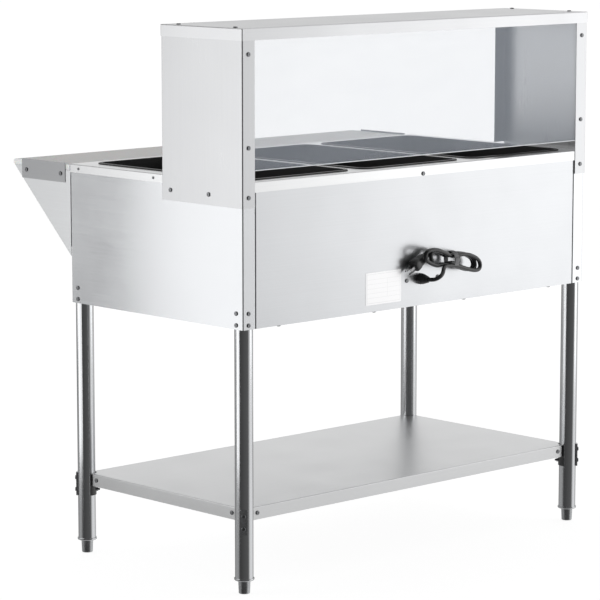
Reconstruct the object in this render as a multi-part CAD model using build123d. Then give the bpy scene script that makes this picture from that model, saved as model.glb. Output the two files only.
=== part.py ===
from build123d import *
import os
from math import cos, radians, sin, sqrt, tan

# Electric steam table with three open wells, an overshelf with a clear guard on the customer side,
# a cutting board on the operator side, four tube legs, an undershelf and a tied supply cord.
# Millimetres. +Z up, +X to the right-hand end, +Y to the customer side (back), -Y to the operator.
# The origin is on the floor, in the middle of the overall length and depth.

# ---- driving dimensions -------------------------------------------------------------------------
table_length = 1118.0          # over the folded ends of the deck
body_depth = 591.0             # front fold to back fold of the deck
deck_height = 914.0            # floor to deck
body_height = 322.0            # deck to underside of the body
overshelf_rise = 333.0         # deck to overshelf
overshelf_depth = 266.0
board_reach = 213.0            # from the body's front face to the board's nose
sheet = 1.2                    # body sheet thickness
bend = 2.0                     # centre-line radius of a sheet bend

well_width = 304.8             # along X, inside
well_length = 508.0            # along Y, inside
well_depth = 203.2
well_pitch = 355.6
well_count = 3
well_back_margin = 40.0        # back fold to inside of well
well_corner = 22.0
well_wall = 1.0
well_gap = 0.6                 # between a liner and the deck's cut-out
rim_width = 10.0               # raised rim round each well
rim_height = 2.5

deck_fold = 23.0
deck_end_fold = 19.0
flange_width = 37.0            # corner flanges of the end panels
return_depth = 10.0
seam_gap = 0.2
panel_top_gap = 0.2

leg_diameter = 41.3
leg_wall = 1.5
leg_inset = 22.0               # leg centre from the deck's faces
collar_bottom = 30.0
collar_height = 5.5
collar_proud = 2.0
insert_length = 27.0
stem_diameter = 12.0
stem_length = 45.0
stem_clearance = 0.05
foot_top_diameter = 27.5
foot_bottom_diameter = 25.0
foot_gap = 0.3
foot_travel = 25.0             # how far the foot screws out

shelf_height = 190.0           # top of the undershelf
shelf_fold = 29.0
shelf_inset = 20.0             # undershelf edge from the deck's faces
saddle_thickness = 2.0
saddle_gap = 0.3
saddle_opening = 12.0          # how far behind the leg's centre the saddle ring stops

post_width = 37.0              # overshelf end panel flanges
post_overlap = 56.0            # how far the overshelf ends reach below the deck
rail_fold = 26.5
guard_thickness = 4.0
guard_lift = 24.0              # guard's lower edge above the deck
board_thickness = 12.7
board_drop = 3.0               # board top below the deck
board_back_gap = 3.0
board_end_gap = 1.0
board_rest_gap = 0.3
board_lift = 60.0              # how far the board is lifted clear of its end plates
gusset_thickness = 1.5
gusset_drop = 214.0
end_plate_length = 160.0
end_plate_height = 45.0
end_plate_gap = 18.0           # body front to end plate

knob_height = 62.0             # knob centre above the underside of the body
knob_diameter = 48.0
knob_depth = 24.0
shaft_diameter = 6.0
shaft_clearance = 0.05
bushing_diameter = 9.5
switch_depth = 34.0

cord_diameter = 9.5
relief_x = 8.0
relief_height = 62.0           # strain relief centre above the underside of the body
relief_length = 26.0
hank_standoff = 10.0           # back face to the bundle
hank_thickness = 36.0

screw_diameter = 5.0
screw_head_diameter = 10.0
screw_head_height = 2.3
rivet_diameter = 3.2
hole_clearance = 0.15          # radial, screw in hole

# ---- derived places -----------------------------------------------------------------------------
back_proud = sheet + screw_head_height
overall_depth = board_reach + body_depth + back_proud
back_y = overall_depth / 2 - back_proud
front_y = back_y - body_depth
end_x = table_length / 2
under_z = deck_height - body_height
top_z = deck_height + overshelf_rise
leg_radius = leg_diameter / 2
leg_bore = leg_radius - leg_wall
leg_x = end_x - leg_inset
leg_back_y = back_y - leg_inset
leg_front_y = front_y + leg_inset
well_y = back_y - well_back_margin - well_length / 2
well_xs = [(index - (well_count - 1) / 2) * well_pitch for index in range(well_count)]
web_x = end_x - sheet                      # outer face of an end panel
panel_back_y = back_y - sheet              # outer face of the back panel
panel_front_y = front_y + sheet            # outer face of the front panel
panel_top_z = deck_height - sheet - panel_top_gap
seam_x = web_x - flange_width              # inner end of the corner flanges
knob_z = under_z + knob_height
relief_z = under_z + relief_height
corners = [(1, 1), (-1, 1), (1, -1), (-1, -1)]

parts = {}


# ---- helpers ------------------------------------------------------------------------------------
def block(x0, x1, y0, y1, z0, z1):
    """A box between two corners."""
    return Pos((x0 + x1) / 2, (y0 + y1) / 2, (z0 + z1) / 2) * Box(x1 - x0, y1 - y0, z1 - z0)


def rod(start, direction, radius, length):
    """A cylinder from start along direction."""
    return Plane(origin=start, z_dir=direction) * Pos(0, 0, length / 2) * Cylinder(radius, length)


def rounded_block(x0, x1, y0, y1, z0, z1, corner):
    """A box with rounded vertical edges."""
    base = Pos((x0 + x1) / 2, (y0 + y1) / 2, z0) * RectangleRounded(x1 - x0, y1 - y0, corner)
    return extrude(base, amount=z1 - z0)


def tray(x0, x1, y0, y1, z_top, depth, thickness, corner):
    """A sheet tray, open below, with rounded outer edges."""
    outer = block(x0, x1, y0, y1, z_top - depth, z_top)
    edges = outer.edges().group_by(Axis.Z)[-1] + outer.edges().filter_by(Axis.Z)
    outer = fillet(edges, corner)
    inner = block(x0 + thickness, x1 - thickness, y0 + thickness, y1 - thickness,
                  z_top - depth - 1, z_top - thickness)
    return outer - inner


def folded(points, thickness, radius):
    """The section of a folded sheet, from the points of its centre line."""
    return trace(FilletPolyline(*points, radius=radius), line_width=thickness)


def screw(seat, outward, diameter, length, head_scale=2.0, head_height=screw_head_height):
    """A pan-head screw with a cross recess. seat is under its head and outward leaves the wall."""
    head_radius = diameter * head_scale / 2
    head = Pos(0, 0, head_height / 2) * Cylinder(head_radius, head_height)
    head = fillet(head.edges().group_by(Axis.Z)[-1], head_height * 0.6)
    slot_depth = head_height * 0.45
    slot_z = head_height - slot_depth / 2
    for angle in (0, 90):
        head -= Pos(0, 0, slot_z) * Rot(0, 0, angle) * Box(head_radius, diameter * 0.18, slot_depth)
    shank = Pos(0, 0, -length / 2) * Cylinder(diameter / 2, length)
    return Plane(origin=seat, z_dir=outward) * (head + shank)


def nut(seat, outward, diameter):
    """A hexagon nut whose near face is at seat."""
    height = diameter * 0.8
    body = extrude(RegularPolygon(diameter * 0.9, 6), amount=height)
    body -= Pos(0, 0, height / 2) * Cylinder(diameter / 2 + 0.02, height * 2)
    return Plane(origin=seat, z_dir=outward) * body


def drilled(solid, seats, radius, reach=12.0):
    """The solid with a round hole along each (seat, outward) pair."""
    for seat, outward in seats:
        start = Vector(*seat) + Vector(*outward) * reach
        solid -= rod(start, tuple(-value for value in outward), radius, 2 * reach)
    return solid


def mirrored(seats):
    """The (seat, outward) pairs and their images across the middle of the length."""
    images = [((-s[0], s[1], s[2]), (-o[0], o[1], o[2])) for s, o in seats]
    return seats + images


# ---- fastener places ----------------------------------------------------------------------------
screw_hole = screw_diameter / 2 + hole_clearance
rivet_hole = rivet_diameter / 2 + hole_clearance
corner_rises = (9.5, 35.5)
corner_side_inset = 22.0
corner_back_inset = 18.0
body_seats = []
for rise in corner_rises:
    for face_y, out_y in ((panel_back_y, 1), (panel_front_y, -1)):
        side_y = face_y - out_y * corner_side_inset
        body_seats.append(((web_x, side_y, under_z + rise), (1, 0, 0)))
        body_seats.append(((end_x - corner_back_inset, face_y, under_z + rise), (0, out_y, 0)))
corner_seats = mirrored(body_seats)

band_drop = 10.0
band_seats = mirrored([((end_x, front_y + inset, deck_height - band_drop), (1, 0, 0))
                       for inset in (31.0, 295.0)])
fold_drop = 18.0
fold_seats = [((0, back_y, deck_height - fold_drop), (0, 1, 0)),
              ((0, front_y, deck_height - fold_drop), (0, -1, 0))]
bottom_spacing = 296.0
bottom_edge = 9.0
bottom_seats = [((bottom_spacing * step, y, under_z), (0, 0, -1))
                for step in (-1.5, -0.5, 0.5, 1.5)
                for y in (panel_back_y - bottom_edge, panel_front_y + bottom_edge)]
box_screw_spacing = 102.0
box_seats = [((side * box_screw_spacing / 2, panel_back_y, relief_z - 1.0), (0, 1, 0))
             for side in (1, -1)]

post_outer_x = end_x + sheet
post_back_y = back_y + sheet
post_screw_x = end_x - 17.0
guard_seats = mirrored([((post_screw_x, post_back_y, deck_height + rise), (0, 1, 0))
                        for rise in (277.0, 75.0)])
post_seats = mirrored([((post_screw_x, post_back_y, deck_height - 33.0), (0, 1, 0))])
post_side_seats = mirrored([((post_outer_x, back_y - inset, deck_height - 32.5), (1, 0, 0))
                            for inset in (236.0, 109.0)])
top_seats = mirrored([((end_x - 17.0, y, top_z), (0, 0, 1))
                      for y in (back_y - 40.0, back_y - overshelf_depth + 40.0)])

plate_front_y = front_y - end_plate_gap - end_plate_length
plate_back_y = front_y - end_plate_gap
plate_seats = mirrored([((end_x, y, deck_height - 25.0), (1, 0, 0))
                        for y in (plate_front_y + 16.5, plate_back_y - 16.5)])
gusset_hole_drops = (60.0, 150.0)
gusset_flange = 30.0
gusset_seats = mirrored([((web_x - gusset_flange / 2 - 2, front_y + sheet - gusset_thickness,
                           deck_height - drop), (0, -1, 0)) for drop in gusset_hole_drops])

# ---- body casing --------------------------------------------------------------------------------
deck = tray(-end_x, end_x, front_y, back_y, deck_height, deck_fold, sheet, bend)
for side in (1, -1):
    strip_x = side * (end_x - sheet / 2)
    deck -= block(strip_x - sheet, strip_x + sheet, front_y + 2 * sheet, back_y - 2 * sheet,
                  deck_height - deck_fold - 1, deck_height - deck_end_fold)
cut_half_x = well_width / 2 + well_wall + well_gap
cut_half_y = well_length / 2 + well_wall + well_gap
for x in well_xs:
    deck -= rounded_block(x - cut_half_x, x + cut_half_x, well_y - cut_half_y, well_y + cut_half_y,
                          deck_height - 5, deck_height + 5, well_corner + well_wall + well_gap)
deck = drilled(deck, band_seats, rivet_hole)
deck = drilled(deck, fold_seats, screw_hole)
parts["top_deck"] = deck


def end_panel(side):
    """A C-shaped end panel with corner flanges, and a return that carries the bottom panel."""
    web = web_x - sheet / 2
    hem = seam_x + sheet / 2
    front = panel_front_y + sheet / 2
    back = panel_back_y - sheet / 2
    outline = [(hem, front + return_depth), (hem, front), (web, front), (web, back), (hem, back),
               (hem, back - return_depth)]
    section = folded([(side * x, y) for x, y in outline], sheet, bend)
    panel = Pos(0, 0, under_z) * extrude(section, amount=panel_top_z - under_z)
    clear = 2.6 * sheet
    near = side * (seam_x - 1)
    far = side * (seam_x + sheet + 1)
    panel -= block(min(near, far), max(near, far), panel_front_y + sheet, panel_back_y - sheet,
                   under_z - 1, under_z + clear)
    panel += block(*sorted((side * (web_x - 16), side * (web_x - sheet / 2))), leg_front_y + 45,
                   leg_back_y - 45, under_z, under_z + sheet)
    panel = drilled(panel, corner_seats, screw_hole)
    panel = drilled(panel, [(s, o) for s, o in band_seats], rivet_hole)
    return drilled(panel, post_seats + post_side_seats + gusset_seats, screw_hole)


parts["end_panel_right"] = end_panel(1)
parts["end_panel_left"] = end_panel(-1)


def long_panel(face_y, out_y):
    """The back or front panel: side returns behind the seams and a return along the bottom."""
    half = seam_x - seam_gap - sheet / 2
    middle = face_y - out_y * sheet / 2
    depth = middle - out_y * return_depth
    section = folded([(-half, depth), (-half, middle), (half, middle), (half, depth)], sheet, bend)
    panel = Pos(0, 0, under_z) * extrude(section, amount=panel_top_z - under_z)
    for side in (1, -1):
        panel -= block(side * half - 2, side * half + 2, min(face_y - out_y * 2 * bend, depth - out_y),
                       max(face_y - out_y * 2 * bend, depth - out_y), under_z - 1, under_z + 2.6 * sheet)
    inner = face_y - out_y * 18.0
    panel += block(20 - half, half - 20, min(inner, middle), max(inner, middle), under_z, under_z + sheet)
    return drilled(panel, bottom_seats, screw_hole, reach=6.0)


back_panel = drilled(long_panel(panel_back_y, 1), fold_seats + box_seats, screw_hole)
relief_thread = 10.0
back_panel -= rod((relief_x, back_y, relief_z), (0, -1, 0), relief_thread + hole_clearance, 8)
back_panel -= rod((relief_x + 46.5, back_y, relief_z + 21), (0, -1, 0), 2.0, 8)
parts["back_panel"] = back_panel

front_panel = drilled(long_panel(panel_front_y, -1), fold_seats, screw_hole)
light_offset = 42.0
light_radius = 5.0
for x in well_xs:
    front_panel -= rod((x, front_y - 2, knob_z), (0, 1, 0), bushing_diameter / 2 + hole_clearance, 8)
    front_panel -= rod((x + light_offset, front_y - 2, knob_z), (0, 1, 0), light_radius + hole_clearance, 8)
parts["control_panel"] = front_panel

plate_gap = 0.5
notch = 62.0
bottom = block(-web_x + sheet + plate_gap, web_x - sheet - plate_gap,
               panel_front_y + sheet + plate_gap, panel_back_y - sheet - plate_gap,
               under_z + sheet, under_z + 2 * sheet)
for sx, sy in corners:
    corner_y = panel_back_y if sy > 0 else panel_front_y
    bottom -= Pos(sx * web_x, corner_y, under_z + 1.5 * sheet) * Box(2 * notch, 2 * notch, 4 * sheet)
parts["bottom_panel"] = drilled(bottom, bottom_seats, screw_hole, reach=6.0)

# ---- wells --------------------------------------------------------------------------------------
element_radius = 4.0
element_rise = 26.0
element_runs = (-96.0, -34.0, 34.0, 96.0)
element_back = 420.0
element_turn = 26.0
element_tail = 20.0
insulation_thickness = 12.0
insulation_gap = 0.6
floor_z = deck_height - well_depth
front_wall_y = well_y - well_length / 2
element_z = floor_z + element_rise
clip_ys = (front_wall_y + 90.0, front_wall_y + 330.0)
clip_strip = 1.5


def terminal_holes(solid, x, radius):
    """Clearance holes for the two element tails in the well's front wall."""
    for run in (element_runs[0], element_runs[-1]):
        solid -= rod((x + run, front_wall_y + 10, element_z), (0, -1, 0), radius, 40)
    return solid


def liner(x):
    """An open well: tub, floor and a raised rim that sits on the deck."""
    half_x = well_width / 2
    half_y = well_length / 2
    rim = rounded_block(x - half_x - rim_width, x + half_x + rim_width, well_y - half_y - rim_width,
                        well_y + half_y + rim_width, deck_height, deck_height + rim_height,
                        well_corner + rim_width)
    rim = fillet(rim.edges().group_by(Axis.Z)[-1], rim_height * 0.7)
    tub = rounded_block(x - half_x - well_wall, x + half_x + well_wall, well_y - half_y - well_wall,
                        well_y + half_y + well_wall, floor_z - well_wall, deck_height + 0.1,
                        well_corner + well_wall)
    hollow = rounded_block(x - half_x, x + half_x, well_y - half_y, well_y + half_y,
                           floor_z, deck_height + 10, well_corner)
    hollow = fillet(hollow.edges().group_by(Axis.Z)[0], 4.0)
    shell = rim + tub - hollow
    return terminal_holes(shell, x, element_radius + 0.5)


def element(x):
    """A tubular heating element: two hairpins joined at the front, with straight tails."""
    y_start = front_wall_y - element_tail
    y_back = front_wall_y + element_back
    y_front = front_wall_y + 45.0
    a, b, c, d = [x + run for run in element_runs]
    points = [(a, y_start), (a, y_back), (b, y_back), (b, y_front), (c, y_front), (c, y_back),
              (d, y_back), (d, y_start)]
    path = FilletPolyline(*[(px, py, element_z) for px, py in points], radius=element_turn)
    section = Plane(origin=(a, y_start, element_z), z_dir=(0, 1, 0)) * Circle(element_radius)
    return sweep(section, path=path)


def element_clips(x):
    """Two feet-and-strip supports that carry the element above the floor of the well."""
    clips = []
    half = element_runs[-1] + 12.0
    strip_top = element_z - element_radius
    for y in clip_ys:
        outline = [(x - half, floor_z + clip_strip / 2), (x - half + 14, floor_z + clip_strip / 2),
                   (x - half + 14, strip_top - clip_strip / 2), (x + half - 14, strip_top - clip_strip / 2),
                   (x + half - 14, floor_z + clip_strip / 2), (x + half, floor_z + clip_strip / 2)]
        section = Plane(origin=(0, y, 0), x_dir=(1, 0, 0), z_dir=(0, -1, 0)) * folded(outline, clip_strip, 2.0)
        clips.append(extrude(section, amount=12.0))
    return clips


def insulation(x):
    """A blanket wrapped round the tub below the deck."""
    inner = well_wall + insulation_gap
    outer = inner + insulation_thickness
    half_x = well_width / 2
    half_y = well_length / 2
    low = floor_z - well_wall
    wrap = rounded_block(x - half_x - outer, x + half_x + outer, well_y - half_y - outer,
                         well_y + half_y + outer, low, deck_height - deck_fold - 6, well_corner + outer)
    wrap -= rounded_block(x - half_x - inner, x + half_x + inner, well_y - half_y - inner,
                          well_y + half_y + inner, low - 1, deck_height, well_corner + inner)
    return terminal_holes(wrap, x, element_radius + 2)


clip_solids = []
blanket_solids = []
for number, x in enumerate(well_xs, start=1):
    parts[f"well_liner_{number}"] = liner(x)
    parts[f"heating_element_{number}"] = element(x)
    clip_solids += element_clips(x)
    blanket_solids.append(insulation(x))
parts["element_supports"] = Compound(children=clip_solids)
parts["well_insulation"] = Compound(children=blanket_solids)

# ---- controls -----------------------------------------------------------------------------------
panel_inner_y = panel_front_y + sheet
knob_gap = 1.5
nut_thickness = 2.5
nut_radius = 8.0
bushing_end_y = front_y - 2.8
knob_back_y = bushing_end_y - knob_gap
shaft_end_y = knob_back_y - knob_depth * 0.7


def knob(x):
    """A round knob with a skirt, a grip ridge and a bore for its shaft."""
    radius = knob_diameter / 2
    skirt = rod((x, knob_back_y, knob_z), (0, -1, 0), radius, 4.0)
    skirt = fillet(skirt.edges().group_by(Axis.Y)[0], 1.2)
    hub = rod((x, knob_back_y - 4.0, knob_z), (0, -1, 0), radius * 0.72, knob_depth - 4.0)
    hub = fillet(hub.edges().group_by(Axis.Y)[0], 3.0)
    for side in (1, -1):
        cut_x = x + side * radius * 0.62
        hub -= block(cut_x - radius * 0.36, cut_x + radius * 0.36, knob_back_y - knob_depth - 1,
                     knob_back_y - 9.0, knob_z - radius, knob_z + radius)
    pointer = block(x - 1.2, x + 1.2, knob_back_y - knob_depth - 0.6, knob_back_y - knob_depth + 1.0,
                    knob_z + 2, knob_z + radius * 0.66)
    bore = rod((x, knob_back_y + 1, knob_z), (0, -1, 0), shaft_diameter / 2 + 0.02,
               1 + knob_back_y - shaft_end_y + 0.5)
    return skirt + hub + pointer - bore


def switch_body(x):
    """A heat switch: case behind the panel, threaded bushing through it, and lugs."""
    case_back = panel_inner_y + switch_depth
    case = block(x - 21, x + 21, panel_inner_y, case_back, knob_z - 23, knob_z + 23)
    case = fillet(case.edges().filter_by(Axis.Y), 3.0)
    bushing = rod((x, panel_inner_y + 1, knob_z), (0, -1, 0), bushing_diameter / 2,
                  panel_inner_y + 1 - bushing_end_y)
    lugs = [block(x + lug_x - 0.4, x + lug_x + 0.4, case_back - 1, case_back + 8, knob_z + lug_z - 3,
                  knob_z + lug_z + 3) for lug_x in (-12, 0, 12) for lug_z in (-12, 12)]
    bore = rod((x, bushing_end_y - 1, knob_z), (0, 1, 0), shaft_diameter / 2 + shaft_clearance,
               panel_inner_y + 1 - bushing_end_y + 14)
    return case + bushing + lugs - bore


def bushing_nut(x):
    """The nut that clamps a switch to the panel."""
    body = Plane(origin=(x, panel_front_y, knob_z), z_dir=(0, -1, 0)) * extrude(
        RegularPolygon(nut_radius, 6), amount=nut_thickness)
    return body - rod((x, panel_front_y + 5, knob_z), (0, -1, 0), bushing_diameter / 2 + 0.02, 20)


def pilot_light(x):
    """A pilot light: lens, bezel and a body behind the panel."""
    x_light = x + light_offset
    bezel = rod((x_light, panel_front_y, knob_z), (0, -1, 0), light_radius + 2, 2.0)
    lens = rod((x_light, panel_front_y - 2.0, knob_z), (0, -1, 0), light_radius, 3.0)
    lens = fillet(lens.edges().group_by(Axis.Y)[0], 2.0)
    barrel = rod((x_light, panel_front_y, knob_z), (0, 1, 0), light_radius, 22.0)
    return bezel + lens + barrel


shaft_inner_y = panel_inner_y + 12.0
nut_solids = []
light_solids = []
for number, x in enumerate(well_xs, start=1):
    parts[f"knob_{number}"] = knob(x)
    parts[f"switch_shaft_{number}"] = rod((x, shaft_inner_y, knob_z), (0, -1, 0), shaft_diameter / 2,
                                          shaft_inner_y - shaft_end_y)
    parts[f"heat_switch_{number}"] = switch_body(x)
    nut_solids.append(bushing_nut(x))
    light_solids.append(pilot_light(x))
parts["bushing_nuts"] = Compound(children=nut_solids)
parts["pilot_lights"] = Compound(children=light_solids)

# ---- supply: terminal box inside, strain relief and label plate outside -------------------------
box_back_y = panel_back_y - sheet
box_half = 42.0
box_wall = 1.5
terminal_box = block(-box_half, box_half, box_back_y - 48, box_back_y, relief_z - 24, relief_z + 26)
terminal_box -= block(-box_half + box_wall, box_half - box_wall, box_back_y - 48 + box_wall,
                      box_back_y + 1, relief_z - 24 + box_wall, relief_z + 26 - box_wall)
for side in (1, -1):
    ear_in = side * (box_half - 1)
    ear_out = side * (box_screw_spacing / 2 + 9)
    terminal_box += block(min(ear_in, ear_out), max(ear_in, ear_out), box_back_y - box_wall, box_back_y,
                          relief_z - 12, relief_z + 12)
parts["terminal_box"] = drilled(terminal_box, box_seats, screw_hole)

relief_tip_y = back_y + relief_length
collar_length = 9.0
gland = Plane(origin=(relief_x, panel_back_y, relief_z), z_dir=(0, 1, 0)) * extrude(
    RegularPolygon(13.0, 6), amount=collar_length)
gland += rod((relief_x, panel_back_y - 8, relief_z), (0, 1, 0), relief_thread, 9)
dome = rod((relief_x, panel_back_y + collar_length, relief_z), (0, 1, 0), 11.5,
           relief_tip_y - panel_back_y - collar_length)
gland += chamfer(dome.edges().group_by(Axis.Y)[-1], 8.0, 3.5)
gland -= rod((relief_x, panel_back_y - 20, relief_z), (0, 1, 0), cord_diameter / 2 + 0.3, 80)
parts["strain_relief"] = gland
lock = Plane(origin=(relief_x, box_back_y - 5.5, relief_z), z_dir=(0, 1, 0)) * extrude(
    RegularPolygon(14.0, 6), amount=5.0)
parts["relief_locknut"] = lock - rod((relief_x, box_back_y - 9, relief_z), (0, 1, 0), relief_thread + 0.02, 12)

label_x = 126.0
label_width = 113.0
label_height = 74.0
label_lift = 16.0              # label's lower edge above the underside
label_thickness = 0.4
parts["label_plate"] = block(label_x - label_width / 2, label_x + label_width / 2, panel_back_y,
                             panel_back_y + label_thickness, under_z + label_lift,
                             under_z + label_lift + label_height)

# ---- cord: lead, tied bundle, tie and plug ------------------------------------------------------
hank_y = back_y + hank_standoff + hank_thickness / 2
hank_outline = [(31, 54), (24, 72), (8, 76), (-8, 72), (-27, 79), (-52, 63), (-96, 61), (-134, 48),
                (-157, 26), (-154, 8), (-138, 2), (-84, 14), (-52, 22), (-16, 23), (12, 34)]
hank_face = Plane(origin=(0, back_y + hank_standoff, relief_z), x_dir=(1, 0, 0), z_dir=(0, -1, 0)) * make_face(
    Polyline(*hank_outline, close=True))
hank = extrude(hank_face, amount=-hank_thickness)
hank = fillet(hank.edges().filter_by(Axis.Y), 6.5)
rims = hank.edges().group_by(Axis.Y)
hank = chamfer(rims[0] + rims[-1], 5.0)
hole_face = Plane(origin=(0, back_y, relief_z), x_dir=(1, 0, 0), z_dir=(0, -1, 0)) * make_face(
    Polyline((-109, 44), (-122, 40), (-134, 22), (-111, 26), close=True))
hank -= extrude(hole_face, amount=-90)
plug_room_x = -14.0             # past this the inner loops stop short, and the plug lies beside them
plug_room_depth = 30.0
hank -= block(plug_room_x, 100, back_y, back_y + plug_room_depth, relief_z - 100, relief_z + 200)

tie_x = -66.0
tie_width = 14.0
tie_wall = 1.2
tie_half = hank_thickness / 2 + tie_wall
tie = block(tie_x - tie_width / 2, tie_x + tie_width / 2, hank_y - tie_half, hank_y + tie_half,
            relief_z + 16.5, relief_z + 64.0)
tie = fillet(tie.edges().filter_by(Axis.X), 7.0)
parts["cable_tie"] = tie - hank
parts["cord_hank"] = hank

lead_route = [(relief_x, relief_tip_y - 12.0, relief_z), (relief_x, relief_tip_y + 12.0, relief_z),
              (relief_x - 9.0, relief_tip_y + 24.0, relief_z + 5.0),
              (relief_x - 24.0, relief_tip_y + 24.0, relief_z + 14.0),
              (relief_x - 32.0, relief_tip_y + 12.0, relief_z + 27.0)]


def corner_radii(route):
    """Each corner's arc: 0.45 of the shorter run over the tangent of half the turn."""
    found = []
    for before, here, after in zip(route, route[1:], route[2:]):
        run_in = Vector(*here) - Vector(*before)
        run_out = Vector(*after) - Vector(*here)
        half_turn = radians(run_in.get_angle(run_out)) / 2
        found.append(0.45 * min(run_in.length, run_out.length) / tan(half_turn))
    return found


lead_radii = corner_radii(lead_route)
lead_path = FilletPolyline(*lead_route, radius=lead_radii)
lead_section = Plane(origin=lead_route[0], z_dir=lead_path % 0) * Circle(cord_diameter / 2)
lead = sweep(lead_section, path=lead_path)
print("lead radii", [round(value, 1) for value in lead_radii])
print("lead volume", round(lead.volume), "section times length",
      round(Circle(cord_diameter / 2).area * lead_path.length))
parts["cord_lead"] = lead - hank

plug_tilt = 29.1                # degrees below level
plug_radius = 13.0
plug_length = 36.0
plug_face = (46.0, back_y + 15.5, relief_z + 33.0)
plug_out = (cos(radians(plug_tilt)), 0, -sin(radians(plug_tilt)))
plug_in = tuple(-value for value in plug_out)
plug = rod(plug_face, plug_in, plug_radius, plug_length)
plug = fillet(plug.edges().filter_by(GeomType.CIRCLE), 2.0)
place = Plane(origin=plug_face, x_dir=(0, 1, 0), z_dir=plug_out)
tail = place * Pos(0, 0, -plug_length - 11) * Cone(6.0, 9.0, 24)
tail += place * Pos(0, 0, -plug_length - 22) * Cylinder(6.0, 32)
plug += (tail - hank).solids().sort_by(Axis.X)[-1]
blade_gap = 6.35
blades = [place * Pos(side * blade_gap, 0, 5.5) * Box(1.5, 6.4, 23) for side in (1, -1)]
blades.append(place * Pos(0, -9.0, 6.5) * Cylinder(2.4, 25))
for blade in blades:
    plug -= blade
parts["plug_body"] = plug
parts["plug_blades"] = Compound(children=blades)

# ---- legs, sockets, inserts and feet ------------------------------------------------------------
spigot_radius = leg_bore - 0.15
spigot_length = 60.0
spigot_wall = 2.0
socket_thickness = 3.0
socket_arm = 52.0              # along the end panel
socket_height = 46.0
leg_top_gap = 0.2
saddle_inner = leg_radius + saddle_gap
saddle_outer = saddle_inner + saddle_thickness
clamp_width = 17.0
clamp_top = shelf_height + 2.0
clamp_bottom = shelf_height - 54.0
clamp_thickness = 3.0
clamp_zs = (shelf_height - 12.0, shelf_height - 40.0)
clamp_bolt = 5.0
saddle_bottom = shelf_height - 52.0
saddle_top = shelf_height - sheet - 1.0
wing_length = 34.0
wing_bottom = shelf_height - shelf_fold + 3.0
side_bolt_offset = 38.0
side_bolt_z = shelf_height - 14.0
shelf_edge_x = end_x - shelf_inset
shelf_back_y = back_y - shelf_inset
shelf_front_y = front_y + shelf_inset


def corner_place(sx, sy):
    """The leg's centre, its outward diagonal and the shelf's edge lines at a corner."""
    centre_y = leg_back_y if sy > 0 else leg_front_y
    edge_y = shelf_back_y if sy > 0 else shelf_front_y
    diagonal = (sx / sqrt(2), sy / sqrt(2), 0)
    return sx * leg_x, centre_y, diagonal, sx * shelf_edge_x, edge_y


def leg_socket(sx, sy):
    """A corner angle with a floor plate and a spigot that carries the leg."""
    cx, cy, diagonal, edge_x, edge_y = corner_place(sx, sy)
    wall_x = web_x - sheet - socket_thickness / 2
    wall_y = (panel_back_y if sy > 0 else panel_front_y) - sy * (sheet + socket_thickness / 2)
    far_x = seam_x + sheet + bend + 0.3
    far_y = wall_y - sy * socket_arm
    section = folded([(sx * far_x, wall_y), (sx * wall_x, wall_y), (sx * wall_x, far_y)],
                     socket_thickness, 5.0)
    angle = Pos(0, 0, under_z) * extrude(section, amount=socket_height)
    low_x, high_x = sorted((sx * far_x, sx * (wall_x - 3)))
    low_y, high_y = sorted((far_y, wall_y - sy * 3))
    angle += block(low_x, high_x, low_y, high_y, under_z, under_z + socket_thickness)
    spigot = rod((cx, cy, under_z), (0, 0, -1), spigot_radius, spigot_length)
    spigot -= rod((cx, cy, under_z), (0, 0, -1), spigot_radius - spigot_wall, spigot_length + 5)
    return drilled(angle + spigot, corner_seats, screw_hole)


def clamp_seats(sx, sy):
    """The two clamp bolts of a leg, seated on the clamp plate's outer face."""
    cx, cy, diagonal, edge_x, edge_y = corner_place(sx, sy)
    reach = leg_radius + saddle_gap + clamp_thickness
    return [((cx + diagonal[0] * reach, cy + diagonal[1] * reach, z), diagonal) for z in clamp_zs]


def side_seats(sx, sy):
    """The bolts that join a saddle's wings to the undershelf's folds."""
    cx, cy, diagonal, edge_x, edge_y = corner_place(sx, sy)
    return [((edge_x, cy - sy * side_bolt_offset, side_bolt_z), (sx, 0, 0)),
            ((cx - sx * side_bolt_offset, edge_y, side_bolt_z), (0, sy, 0))]


def saddle_bracket(sx, sy):
    """The saddle ring with its wings."""
    cx, cy, diagonal, edge_x, edge_y = corner_place(sx, sy)
    height = saddle_top - saddle_bottom
    ring = rod((cx, cy, saddle_bottom), (0, 0, 1), saddle_outer, height)
    outside = 50 - saddle_opening
    outward = Plane(origin=(cx + diagonal[0] * outside, cy + diagonal[1] * outside, saddle_bottom + height / 2),
                    x_dir=diagonal, z_dir=(0, 0, 1))
    ring -= outward * Box(100, 200, height + 2)
    face_x = edge_x - sx * (sheet + 0.1)
    face_y = edge_y - sy * (sheet + 0.1)
    wing_z = (wing_bottom, saddle_top)
    low_x, high_x = sorted((cx - sx * 14, cx - sx * (saddle_outer + wing_length)))
    low_y, high_y = sorted((face_y, face_y - sy * saddle_thickness))
    ring += block(low_x, high_x, low_y, high_y, *wing_z)
    low_y, high_y = sorted((cy - sy * 14, cy - sy * (saddle_outer + wing_length)))
    low_x, high_x = sorted((face_x, face_x - sx * saddle_thickness))
    ring += block(low_x, high_x, low_y, high_y, *wing_z)
    ring -= rod((cx, cy, saddle_bottom - 1), (0, 0, 1), saddle_inner, height + 2)
    ring = drilled(ring, side_seats(sx, sy), screw_hole)
    return drilled(ring, clamp_seats(sx, sy), clamp_bolt / 2 + hole_clearance, reach=60.0)


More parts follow.
